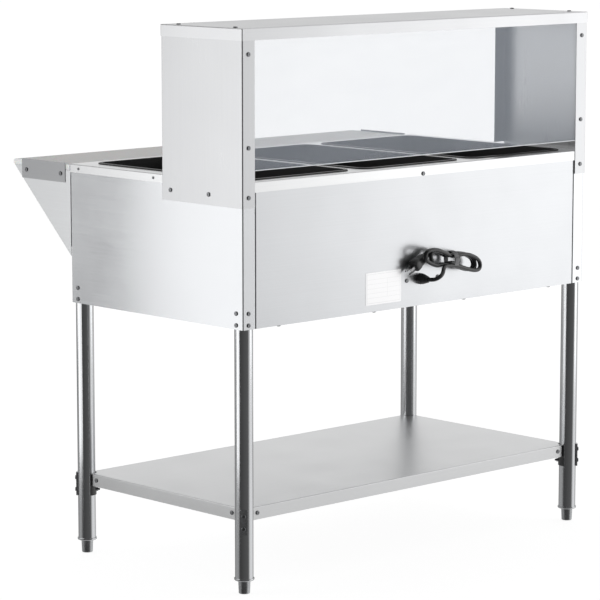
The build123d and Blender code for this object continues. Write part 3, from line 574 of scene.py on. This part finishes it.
def turned(profile: np.ndarray, origin: Sequence[float], axis: Sequence[float], sides: int = 64,
           flute: np.ndarray | None = None, flutes: int = 12,
           corners: np.ndarray | None = None) -> np.ndarray:
    """Points of a turned shape: each profile point is carried round the axis.

    Args:
        profile: (n, 2) radius and distance along the axis.
        origin: where the axis starts.
        axis: its unit direction.
        sides: points round it.
        flute: for each profile point, how deep its flutes cut, as a share of the radius.
        flutes: how many flutes.
        corners: for each profile point, 1 where the section is a hexagon and 0 where it is round.

    Returns:
        A (n, sides, 3) grid. The radius at angle a is r(1 - d(1 + cos(k a))/2), or for a hexagon the
        distance r cos(30) / cos(a' - 30) with a' the angle within one sixth of a turn.
    """
    along = Vector(axis)
    side = along.orthogonal().normalized()
    across = along.cross(side)
    angle = np.linspace(0.0, 2 * math.pi, sides, endpoint=False)
    radius = np.repeat(profile[:, :1], sides, axis=1)
    if flute is not None:
        radius = radius * (1.0 - flute[:, None] * (1.0 + np.cos(flutes * angle)[None, :]) / 2)
    if corners is not None:
        within = np.mod(angle, math.pi / 3) - math.pi / 6
        hexagon = math.cos(math.pi / 6) / np.cos(within)
        radius = radius * (1.0 - corners[:, None] * (1.0 - hexagon[None, :]))
    circle = np.cos(angle)[None, :, None] * np.array(side) + np.sin(angle)[None, :, None] * np.array(across)
    centre = np.array(origin) + profile[:, 1, None] * np.array(along)
    return centre[:, None, :] + radius[:, :, None] * circle


def lofted(centres: np.ndarray, wide: Sequence[float], high: Sequence[float], half_wide: np.ndarray,
           half_high: np.ndarray, power: np.ndarray, sides: int = 48) -> np.ndarray:
    """Points of a loft of superellipses.

    Args:
        centres: (n, 3) centre of each section.
        wide: unit direction of a section's width.
        high: unit direction of its height.
        half_wide: (n,) half widths.
        half_high: (n,) half heights.
        power: (n,) superellipse powers; 2 is round and larger is squarer.
        sides: points round a section.

    Returns:
        A (n, sides, 3) grid. A section is |cos a|^(2/p) wide and |sin a|^(2/p) high, with the signs kept.
    """
    angle = np.linspace(0.0, 2 * math.pi, sides, endpoint=False)[None, :]
    reach = 2.0 / power[:, None]
    across = np.sign(np.cos(angle)) * np.abs(np.cos(angle)) ** reach * half_wide[:, None]
    upward = np.sign(np.sin(angle)) * np.abs(np.sin(angle)) ** reach * half_high[:, None]
    return centres[:, None, :] + across[..., None] * np.array(wide) + upward[..., None] * np.array(high)


def dress(material: bpy.types.Material, *nodes: str) -> None:
    """Gives CAD nodes a material."""
    for name in nodes:
        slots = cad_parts[name].data.materials
        slots.clear()
        slots.append(material)
    LOG.info("%s on %s", material.name, ", ".join(nodes))


# ---- sub-assemblies ------------------------------------------------------------------------------
@dataclass
class Casing:
    """The deck, panels and their screws."""

    # painted shade: the screws are darkened overall to stand in for the shade in their driver recesses
    screw: PlatedSteel = PlatedSteel("screw_steel", (0.27, 0.275, 0.285), 0.3)

    def build(self) -> None:
        """Dresses the casing's sheets, each with the brushing along its longer side."""
        dress(BrushedSteel("deck_steel", (0.78, 0.785, 0.79), 0.3, Grain.ALONG_X).material(), "top_deck")
        dress(BrushedSteel("long_panel_steel", (0.66, 0.67, 0.685), 0.32, Grain.ALONG_X).material(),
              "back_panel", "control_panel")
        dress(BrushedSteel("end_panel_steel", (0.64, 0.65, 0.665), 0.19, Grain.ALONG_Y).material(),
              "end_panel_right", "end_panel_left")
        dress(PlatedSteel("bottom_plate", (0.6, 0.61, 0.63), 0.4).material(),
              "bottom_panel", "terminal_box")
        dress(self.screw.material(), "body_screws", "overshelf_screws", "ledge_screws", "shelf_bolts",
              "bushing_nuts")
        low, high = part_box("label_plate")
        dress(RatingFoil("rating_foil", tuple(low), tuple(high)).material(), "label_plate")


@dataclass
class Wells:
    """The open wells with their elements and blanket."""

    count: int = 3

    def build(self) -> None:
        """Dresses each well."""
        numbers = range(1, self.count + 1)
        # painted shade: the wells' near-black stands in for the shade inside them
        dress(PaintedShadeBlack("well_painted_shade_black").material(), *[f"well_liner_{n}" for n in numbers])
        dress(HeatedSheath("element_sheath").material(), *[f"heating_element_{n}" for n in numbers])
        dress(PlatedSteel("element_strip", (0.3, 0.3, 0.31), 0.45).material(), "element_supports")
        dress(Blanket("glass_wool").material(), "well_insulation")


@dataclass
class Legs:
    """Tube legs, feet and the undershelf with its corner hardware."""

    count: int = 4

    def build(self) -> None:
        """Dresses the legs and the shelf."""
        numbers = range(1, self.count + 1)
        dress(PolishedTube("leg_tube").material(), *[f"leg_{n}" for n in numbers], "leg_inserts")
        dress(PlatedSteel("foot_plate", (0.5, 0.51, 0.52), 0.3).material(), *[f"foot_{n}" for n in numbers])
        dress(PlatedSteel("bracket_plate", (0.6, 0.61, 0.63), 0.28).material(), "leg_clamp_plates",
              "leg_sockets")
        dress(Moulded("saddle_paint", (0.016, 0.016, 0.017), 0.35, 500.0, 0.0001, 0.2).material(),
              "shelf_saddles")
        dress(BrushedSteel("shelf_steel", (0.7, 0.705, 0.71), 0.34, Grain.ALONG_X).material(), "undershelf")


@dataclass
class Overshelf:
    """The overshelf, its end panels and the clear guard."""

    haze_and_sky_reflection: float = 0.16

    def build(self) -> None:
        """Dresses the overshelf and the guard."""
        dress(BrushedSteel("shelf_top_steel", (0.67, 0.675, 0.685), 0.32, Grain.ALONG_X).material(),
              "overshelf_top")
        dress(BrushedSteel("post_steel", (0.6, 0.605, 0.615), 0.3, Grain.ALONG_Z).material(),
              "overshelf_end_right", "overshelf_end_left")
        low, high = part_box("sneeze_guard")
        dress(ClearSheet("guard_sheet", tuple(low), tuple(high), self.haze_and_sky_reflection).material(), "sneeze_guard")


@dataclass
class Ledge:
    """The cutting board and its brackets."""

    def build(self) -> None:
        """Dresses the board and brackets."""
        dress(BoardPlastic("board_plastic").material(), "cutting_board")
        dress(BrushedSteel("gusset_steel", (0.74, 0.75, 0.76), 0.36, Grain.ALONG_Y).material(),
              "ledge_gusset_right", "ledge_gusset_left")
        dress(BrushedSteel("end_plate_steel", (0.42, 0.425, 0.435), 0.34, Grain.ALONG_Y).material(),
              "ledge_end_plate_right", "ledge_end_plate_left")


@dataclass
class Controls:
    """Knobs, dials and pilot lights on the operator side."""

    count: int = 3
    skirt_height: float = 0.004
    grip_depth: float = 0.13
    dial_radius: float = 0.0325
    dial_thickness: float = 0.0006
    nut_radius: float = 0.0085
    tick_radius: float = 0.0255
    line_width: float = 0.0022
    line_height: float = 0.0014

    def knob(self, number: int, finish: bpy.types.Material, mark: bpy.types.Material) -> None:
        """Makes a fluted knob with a skirt and a pointer line, turned about its shaft.

        Args:
            number: which knob.
            finish: the knob's plastic.
            mark: the pointer's paint.
        """
        low, high = (np.array(corner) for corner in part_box(f"knob_{number}"))
        radius = (high[0] - low[0]) / 2
        depth = high[1] - low[1] - 0.0006
        centre = ((low[0] + high[0]) / 2, high[1], (low[2] + high[2]) / 2)
        hub = radius * 0.74
        profile = np.array([(0.0, 0.0006), (radius * 0.5, 0.0006), (radius - 0.001, 0.0), (radius, 0.001),
                            (radius, self.skirt_height - 0.0012), (radius - 0.0015, self.skirt_height),
                            (hub + 0.001, self.skirt_height + 0.0004), (hub, self.skirt_height + 0.002),
                            (hub, depth * 0.5), (hub * 0.985, depth - 0.004), (hub * 0.95, depth - 0.0015),
                            (hub * 0.86, depth), (hub * 0.5, depth - 0.0005), (0.0, depth - 0.0005)])
        flute = np.array([0, 0, 0, 0, 0, 0, 0, 0.5, 1, 1, 0.8, 0.3, 0, 0]) * self.grip_depth
        body = turned(profile, centre, (0.0, -1.0, 0.0), 144, flute, 12)
        piece = make_piece(f"fluted_knob_{number}", [(body, False, True)], finish, f"knob_{number}")
        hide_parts(f"knob_{number}")
        levels = np.linspace(0.0, 1.0, 9)
        bar = np.stack([np.full(9, centre[0]), np.full(9, centre[1] - depth + 0.0002),
                        centre[2] + levels * hub * 0.84], -1)
        taper = np.sin(np.clip(levels, 0.02, 0.98) * math.pi) ** 0.25
        taper[[0, -1]] = 0.0
        line = lofted(bar, (1.0, 0.0, 0.0), (0.0, 1.0, 0.0), self.line_width / 2 * taper,
                      self.line_height / 2 * taper, np.full(9, 3.0), 16)
        pointer = make_piece(f"pointer_line_{number}", [(line, False, True)], mark, f"knob_{number}")

    def dial(self, number: int) -> None:
        """Makes a thin dial plate on the panel: a flat ring round the switch's nut.

        Args:
            number: which dial.
        """
        low, high = (np.array(corner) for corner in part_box(f"knob_{number}"))
        nut = self.nut_radius
        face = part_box("control_panel")[0][1]
        centre = ((low[0] + high[0]) / 2, face, (low[2] + high[2]) / 2)
        thick = self.dial_thickness
        rim = self.dial_radius
        profile = np.array([(nut, 0.0), (rim, 0.0), (rim, thick * 0.7), (rim - 0.0003, thick),
                            (nut, thick)])
        ring = turned(profile, centre, (0.0, -1.0, 0.0), 96)
        finish = DialPrint(f"dial_print_{number}", centre, self.tick_radius, rim).material()
        piece = make_piece(f"dial_plate_{number}", [(ring, True, True)], finish, TABLE)

    def build(self) -> None:
        """Builds the knobs and dials and dresses the rest."""
        plastic = Moulded("knob_plastic", (0.02, 0.02, 0.021), 0.32, 700.0, 0.00005, 0.25).material()
        paint = Moulded("pointer_paint", (0.8, 0.8, 0.78), 0.4).material()
        for number in range(1, self.count + 1):
            self.knob(number, plastic, paint)
            self.dial(number)
        numbers = range(1, self.count + 1)
        dress(PlatedSteel("shaft_plate").material(), *[f"switch_shaft_{n}" for n in numbers])
        dress(Moulded("switch_case", (0.3, 0.2, 0.1), 0.5).material(),
              *[f"heat_switch_{n}" for n in numbers])
        dress(Moulded("lamp_lens", (0.55, 0.03, 0.015), 0.16, 300.0, 0.0001, 0.5).material(),
              "pilot_lights")


@dataclass
class SupplyCord:
    """The gland, the tied cord, its strap and its plug.

    The route repeats the model's own points. The bundle is one flattened coil: its height above and
    below a falling middle line, its left and right ends and its distance from the panel all change
    slowly from turn to turn.
    """

    panel: float = 0.40025
    diameter: float = 0.0095
    exit: tuple[float, float, float] = (0.008, 0.42625, 0.654)
    turns: float = 2.578
    points_per_turn: int = 40
    loop_radius: float = 18.0
    tie: tuple[float, float, float] = (-0.066, 0.42845, 0.6944)
    tie_reach: float = 0.0176
    tie_rise: float = 0.0194
    plug_face: tuple[float, float, float] = (0.046, 0.41575, 0.687)
    plug_axis: tuple[float, float, float] = (0.87378, 0.0, -0.48634)
    lead: list[tuple[float, float, float]] = field(default_factory=lambda: [
        (0.008, 0.41425, 0.654), (0.008, 0.43825, 0.654), (-0.001, 0.45025, 0.659),
        (-0.016, 0.45025, 0.668)])

    def coil(self) -> np.ndarray:
        """Works out the bundle's line.

        Returns:
            Points along it. For a share t of turns, the angle a falls from -79 degrees by 360 t. The
            place along X runs between the two ends as tanh(2.5 cos a), plus a circle's cos a, so each
            end is a round loop, and the height is the middle line plus a half height times sin a. The
            half height narrows at the tie and is drawn into four rows there.
        """
        share = np.linspace(0.0, self.turns, int(self.turns * self.points_per_turn))
        angle = np.radians(-79.0) - 2 * math.pi * share
        left = np.interp(share, [0.0, 1.2, 1.5, 2.1, 3.0], [26.0, 25.0, 6.0, -12.0, -16.0])
        right = np.interp(share, [0.0, 0.32, 1.32, 2.32, 3.0], [-151.0, -152.0, -144.0, -148.0, -147.0])
        run = np.tanh(2.5 * np.cos(angle)) / np.tanh(2.5)
        straight = (left - right) / 2 - self.loop_radius
        x = (left + right) / 2 + straight * run + self.loop_radius * np.cos(angle)
        middle = np.interp(x, [-155.0, -125.0, -90.0, -54.0, -16.0, 26.0],
                           [674.0, 682.0, 691.5, 696.0, 703.0, 712.0])
        row = np.where(np.sin(angle) > 0, np.where(np.mod(share, 2.0) < 1.0, 6.5, 14.0),
                       np.where(np.mod(share + 0.5, 2.0) < 1.0, 14.0, 6.0))
        flat = np.interp(x, [-150.0, -118.0, -84.0, -66.0, -48.0, -16.0, 20.0],
                         [18.0, 18.5, 17.0, 0.0, 12.5, 20.0, 16.5])
        pinch = np.exp(-((x - self.tie[0] * 1000.0) / 22.0) ** 2)
        half = flat * (1.0 - pinch) + row * pinch
        half = np.maximum(half, 5.0)
        z = middle + half * np.sin(angle)
        y = self.panel * 1000.0 + 41.0 - 9.7 * share
        return np.stack([x, y, z], -1) / 1000.0

    def route(self) -> np.ndarray:
        """The whole line: lead, bundle and the last stretch into the plug."""
        axis = np.array(self.plug_axis)
        face = np.array(self.plug_face)
        into = np.stack([face - axis * reach for reach in (0.072, 0.056, 0.044)])
        return np.concatenate([np.array(self.lead), self.coil(), into])

    def cord(self, finish: bpy.types.Material) -> bpy.types.Object:
        """Makes the cord as one smooth spline through the route."""
        curve = bpy.data.curves.new("supply_cord", "CURVE")
        curve.dimensions = "3D"
        curve.bevel_depth = self.diameter / 2
        curve.bevel_resolution = 5
        curve.resolution_u = 6
        curve.use_fill_caps = True
        spline = curve.splines.new("NURBS")
        route = self.route()
        spline.points.add(len(route) - 1)
        spline.points.foreach_set("co", np.c_[route, np.ones(len(route))].ravel())
        spline.order_u = 3
        spline.use_endpoint_u = True
        curve.materials.append(finish)
        piece = bpy.data.objects.new("supply_cord", curve)
        bpy.context.scene.collection.objects.link(piece)
        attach(piece, TABLE)
        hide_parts("cord_lead", "cord_hank")
        return piece

    def gland(self, finish: bpy.types.Material) -> bpy.types.Object:
        """Makes the gland: a hexagon collar and a ribbed sleeve that tapers to the cord."""
        base = self.panel - 0.0012
        tip = self.exit[1] - base
        ribs = np.linspace(0.0, 1.0, 33)
        ribbed = 0.0112 - 0.0046 * ribs + 0.0008 * np.cos(ribs * math.pi * 10)
        sleeve = np.stack([ribbed, 0.0105 + ribs * (tip - 0.0115)], -1)
        collar = np.array([(0.0052, 0.0), (0.0122, 0.0), (0.0128, 0.0006), (0.0128, 0.0078), (0.012, 0.009),
                           (0.0115, 0.0092)])
        end = np.array([(0.0062, tip - 0.0003), (0.0052, tip)])
        profile = np.concatenate([collar, sleeve, end])
        corners = np.zeros(len(profile))
        corners[1:5] = 1.0
        shape = turned(profile, (self.exit[0], base, self.exit[2]), (0.0, 1.0, 0.0), 72, corners=corners)
        piece = make_piece("ribbed_gland", [(shape, True, True)], finish, TABLE)
        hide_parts("strain_relief")
        return piece

    def strap(self, finish: bpy.types.Material) -> bpy.types.Object:
        """Makes the strap: a flat band round the strands with a raised buckle."""
        sides = 72
        angle = np.linspace(0.0, 2 * math.pi, sides, endpoint=False)
        tie_x, y, tie_z = self.tie
        band = np.array([(-7.0, 0.0), (-6.4, 0.9), (-3.0, 1.15), (3.0, 1.15), (6.4, 0.9), (7.0, 0.0),
                         (6.4, -0.1), (-6.4, -0.1)]) / 1000.0
        reach = np.sign(np.cos(angle)) * np.abs(np.cos(angle)) ** 0.7
        rise = np.sign(np.sin(angle)) * np.abs(np.sin(angle)) ** 0.7
        grid = np.empty((sides, len(band), 3))
        slip = 0.0016 * np.sin(angle)
        grid[..., 0] = tie_x + band[None, :, 0] + slip[:, None]
        grid[..., 1] = y + reach[:, None] * (self.tie_reach + band[None, :, 1])
        grid[..., 2] = tie_z + rise[:, None] * (self.tie_rise + band[None, :, 1])
        stations = np.linspace(0.0, 1.0, 13)
        bulge = np.sin(np.clip(stations, 0.0, 1.0) * math.pi) ** 0.35
        bulge[[0, -1]] = 0.0
        centres = np.stack([np.full(13, tie_x), np.full(13, y + 0.0188), 0.688 + 0.014 * stations], -1)
        buckle = lofted(centres, (1.0, 0.0, 0.0), (0.0, 1.0, 0.0), 0.0075 * bulge, 0.0022 * bulge,
                        np.full(13, 4.0), 32)
        piece = make_piece("cord_strap", [(grid, True, True), (buckle, False, True)], finish, TABLE)
        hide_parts("cable_tie")
        return piece

    def plug(self, finish: bpy.types.Material) -> bpy.types.Object:
        """Makes the moulded plug: a squared head, a grip with ridges and a ribbed tail."""
        axis = np.array(self.plug_axis)
        face = np.array(self.plug_face)
        back = np.array([0.0, 0.0, 0.4, 2.0, 8.0, 13.0, 17.0, 20.0, 23.0, 26.0, 29.0, 32.0,
                         35.0, 38.0, 40.0, 42.5, 45.0, 47.5, 50.0, 52.5, 55.0, 57.5, 58.0, 58.0]) / 1000.0
        width = np.array([0.0, 11.8, 12.6, 13.0, 13.0, 12.6, 11.6, 10.7, 11.2, 10.1, 10.6, 9.6,
                          10.0, 9.0, 8.0, 7.2, 8.0, 6.8, 7.6, 6.4, 7.1, 6.2, 5.8, 0.0]) / 1000.0
        height = np.array([0.0, 11.8, 12.6, 13.0, 13.0, 12.7, 12.0, 11.4, 11.7, 11.0, 11.2, 10.5,
                           10.6, 9.4, 8.2, 7.2, 8.0, 6.8, 7.6, 6.4, 7.1, 6.2, 5.8, 0.0]) / 1000.0
        power = np.interp(back, [0.0, 0.013, 0.035, 0.045], [5.0, 4.0, 3.0, 2.0])
        centres = face - back[:, None] * axis
        across = np.array((0.0, 1.0, 0.0))
        upward = np.cross(axis, across)
        shape = lofted(centres, tuple(across), tuple(upward), width, height, power, 56)
        piece = make_piece("moulded_plug", [(shape, False, True)], finish, TABLE)
        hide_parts("plug_body")
        return piece

    def build(self) -> None:
        jacket = Moulded("cord_jacket", (0.009, 0.009, 0.01), 0.3, 1400.0, 0.00003, 0.5).material()
        cord = self.cord(jacket)
        gland = self.gland(Moulded("gland_plastic", (0.011, 0.011, 0.012), 0.34, coat=0.3).material())
        strap = self.strap(Moulded("strap_weave", (0.2, 0.2, 0.205), 0.7, 1800.0, 0.0002).material())
        plug = self.plug(Moulded("plug_rubber", (0.02, 0.02, 0.021), 0.36, 800.0, 0.00006, 0.3).material())
        dress(PlatedSteel("blade_nickel", (0.3, 0.3, 0.305), 0.3).material(), "plug_blades")
        dress(Moulded("locknut_plastic", (0.03, 0.03, 0.031), 0.5).material(), "relief_locknut")
        bare = cord.data.copy()
        bare.bevel_depth = 0.0
        probe = bpy.data.objects.new("probe", bare)
        line = bpy.data.meshes.new_from_object(probe)
        places = np.empty(len(line.vertices) * 3)
        line.vertices.foreach_get("co", places)
        bpy.data.objects.remove(probe)
        bpy.data.curves.remove(bare)
        bpy.data.meshes.remove(line)


# ---- studio --------------------------------------------------------------------------------------
@dataclass(frozen=True)
class Panel:
    """A soft light: a square panel aimed at a point."""

    name: str
    place: tuple[float, float, float]
    target: tuple[float, float, float]
    size: float
    power: float

    def build(self) -> None:
        """Makes the light, unseen by the camera itself."""
        lamp = bpy.data.lights.new(self.name, "AREA")
        lamp.size = self.size
        lamp.energy = self.power
        light = bpy.data.objects.new(self.name, lamp)
        light.location = self.place
        aim = Vector(self.target) - Vector(self.place)
        light.rotation_euler = aim.to_track_quat("-Z", "Y").to_euler()
        light.visible_camera = False
        bpy.context.scene.collection.objects.link(light)


@dataclass
class Studio:
    """A pale floor, a soft sky, a few panels and the camera."""

    eye: tuple[float, float, float] = (4.7419, 5.0, 1.576)
    heading: float = -2.3287
    pitch: float = -0.1463
    lens: float = 173.84
    floor_size: float = 90.0
    floor_glow: float = 0.9
    dark_from_to: tuple[float, float] = (0.12, 0.6)
    sky_bright: float = 0.95
    sky_dark: float = 0.13
    back_side: float = 0.93
    end_side: float = 0.38
    panels: tuple[Panel, ...] = (
        Panel("end_panel_light", (2.25, -0.7, 0.75), (0.56, 0.1, 0.75), 1.8, 11.5),
        Panel("back_panel_light", (-2.7, 2.4, 0.75), (0.0, 0.4, 0.75), 1.8, 8.0),
        Panel("far_end_light", (2.25, -3.3, 0.6), (-0.56, 0.15, 1.05), 1.3, 3.2),
        Panel("horizon_light", (-3.1, -3.3, 1.3), (0.0, 0.0, 0.9), 2.6, 7.0),
    )

    def floor(self) -> None:
        """Makes a wide pale floor."""
        half = self.floor_size / 2
        mesh = bpy.data.meshes.new("studio_floor")
        corners = [(-half, -half, 0), (half, -half, 0), (half, half, 0), (-half, half, 0)]
        mesh.from_pydata(corners, [], [(0, 1, 2, 3)])
        painter = Painter("floor_paint")
        tone = painter.noise((0.8, 0.8, 0.8), 2.0)
        mesh.materials.append(painter.finish(
            Base_Color=painter.blend(tone, (0.2, 0.2, 0.2), (0.22, 0.22, 0.22)), Roughness=0.9,
            Emission_Color=(1.0, 1.0, 1.0, 1.0), Emission_Strength=self.floor_glow))
        floor = bpy.data.objects.new("studio_floor", mesh)
        floor.visible_glossy = False
        bpy.context.scene.collection.objects.link(floor)

    def sky(self) -> None:
        """Makes a white sky that is dark behind the camera, so that tubes and flats show their form.

        It also falls from full at the side that the back panel reflects to weak at the side that the
        right-hand end panel reflects.
        """
        world = bpy.data.worlds.new("studio_sky")
        world.use_nodes = True
        bpy.context.scene.world = world
        nodes, links = world.node_tree.nodes, world.node_tree.links
        background = nodes["Background"]
        coordinates = nodes.new("ShaderNodeTexCoord")
        dot = nodes.new("ShaderNodeVectorMath")
        dot.operation = "DOT_PRODUCT"
        behind = self.heading + math.pi
        toward = Vector((math.cos(behind), math.sin(behind), 0.1)).normalized()
        dot.inputs[1].default_value = toward
        ramp = nodes.new("ShaderNodeMapRange")
        ramp.interpolation_type = "SMOOTHSTEP"
        for number, value in enumerate((*self.dark_from_to, self.sky_bright, self.sky_dark), start=1):
            ramp.inputs[number].default_value = value
        side = nodes.new("ShaderNodeVectorMath")
        side.operation = "DOT_PRODUCT"
        side.inputs[1].default_value = Vector((toward.y, -toward.x, 0.0)).normalized()
        tilt = nodes.new("ShaderNodeMapRange")
        for number, value in enumerate((-1.0, 1.0, self.back_side, self.end_side), start=1):
            tilt.inputs[number].default_value = value
        both = nodes.new("ShaderNodeMath")
        both.operation = "MULTIPLY"
        seen = nodes.new("ShaderNodeLightPath")
        mix = nodes.new("ShaderNodeMix")
        mix.data_type = "FLOAT"
        mix.inputs[3].default_value = 1.0
        links.new(coordinates.outputs["Generated"], dot.inputs[0])
        links.new(dot.outputs["Value"], ramp.inputs[0])
        links.new(coordinates.outputs["Generated"], side.inputs[0])
        links.new(side.outputs["Value"], tilt.inputs[0])
        links.new(ramp.outputs[0], both.inputs[0])
        links.new(tilt.outputs[0], both.inputs[1])
        links.new(both.outputs[0], mix.inputs[2])
        links.new(seen.outputs["Is Camera Ray"], mix.inputs[0])
        links.new(mix.outputs[0], background.inputs["Strength"])
        background.inputs["Color"].default_value = (1.0, 1.0, 1.0, 1.0)

    def camera(self) -> None:
        """Places the camera."""
        data = bpy.data.cameras.new("camera")
        data.lens = self.lens
        data.sensor_width = 36.0
        data.clip_end = 200.0
        camera = bpy.data.objects.new("camera", data)
        camera.location = self.eye
        level = math.cos(self.pitch)
        aim = Vector((level * math.cos(self.heading), level * math.sin(self.heading),
                      math.sin(self.pitch)))
        camera.rotation_euler = aim.to_track_quat("-Z", "Y").to_euler()
        bpy.context.scene.collection.objects.link(camera)
        bpy.context.scene.camera = camera

    def build(self) -> None:
        """Builds the studio."""
        self.camera()
        self.floor()
        self.sky()
        for panel in self.panels:
            panel.build()
        bpy.context.scene.view_settings.view_transform = "Standard"


def main() -> None:
    """Builds the studio and each sub-assembly."""
    logging.basicConfig(level=logging.INFO, format="%(name)s: %(message)s")
    for assembly in (Studio(), SupplyCord(), Casing(), Wells(), Legs(), Overshelf(), Ledge(), Controls()):
        assembly.build()
        LOG.info("built %s", type(assembly).__name__)


if __name__ == "__main__":
    main()
